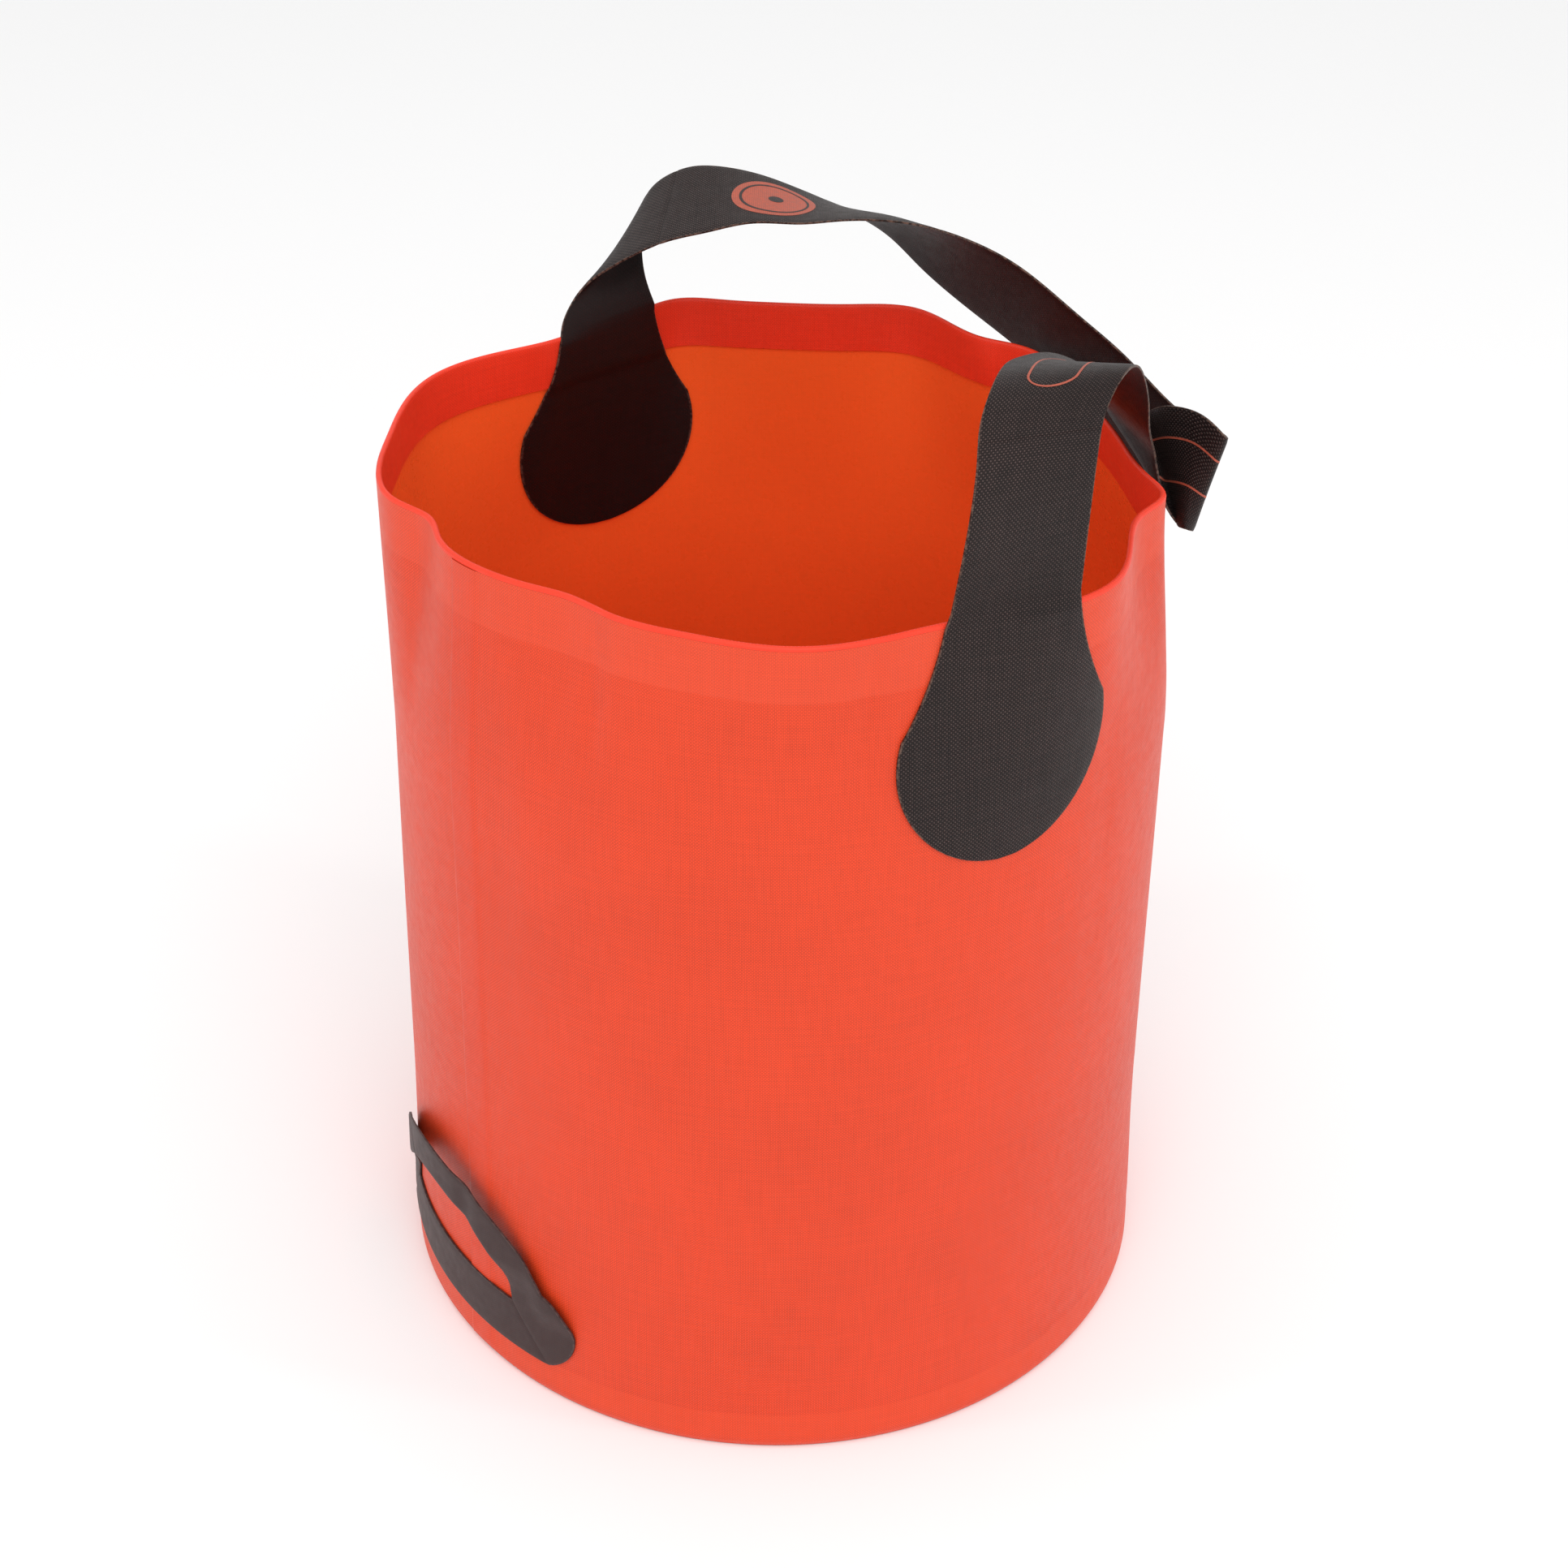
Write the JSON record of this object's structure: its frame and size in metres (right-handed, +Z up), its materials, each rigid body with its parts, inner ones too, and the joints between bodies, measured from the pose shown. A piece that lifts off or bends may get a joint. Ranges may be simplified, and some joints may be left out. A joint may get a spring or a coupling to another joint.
{
  "type": "collapsible fabric bucket",
  "caption": "Round soft bucket of coated fabric with a welded base, a slack strap handle over its open mouth and a flat tilt handle low on the wall.",
  "frame": {"origin": "centre of the base's underside, where the bucket stands", "axes": "+Z up along the bucket, +X towards the strap end welded outside the wall, -Y towards the tilt handle"},
  "size_m": [0.2287, 0.2291, 0.3125],
  "materials": {
    "wall_fabric": "satin coated weave, orange red",
    "hem_fabric": "matte coated weave, darker red",
    "base_fabric": "smooth glossy coating, orange red",
    "strap_fabric": "coarse coated weave, black",
    "strap_print": "flat ink, dull orange",
    "handle_sheet": "smooth coated sheet, dark grey"
  },
  "bodies": {
    "bucket_base": {"wall_lower": "wall_fabric", "wall_middle": "wall_fabric", "base_panel": "base_fabric", "tilt_handle": "handle_sheet"},
    "bucket_top": {"wall_upper": "wall_fabric", "rim_hem": "hem_fabric", "strap_end_outer": "strap_fabric", "strap_end_inner": "strap_fabric", "strap_leg_outer": "strap_fabric", "strap_leg_inner": "strap_fabric"},
    "strap": {"carry_strap": "strap_fabric", "strap_badge": "strap_print"},
    "grip": {"tilt_handle_grip": "handle_sheet"}
  },
  "joints": [
    {"name": "collapse", "type": "slide", "parent": "bucket_base", "child": "bucket_top", "axis": [0, 0, -1], "range_m": [0, 0.08], "deforming": ["wall_middle"]},
    {"name": "strap_lift", "type": "hinge", "parent": "bucket_top", "child": "strap", "pos_m": [0, 0, 0.262], "axis": [1, 0, 0], "range_deg": [0, 50], "deforming": ["strap_leg_outer", "strap_leg_inner"]},
    {"name": "grip_pull", "type": "slide", "parent": "bucket_base", "child": "grip", "axis": [0, -1, 0], "range_m": [0, 0.008], "stiffness_N_per_m": 60}
  ]
}
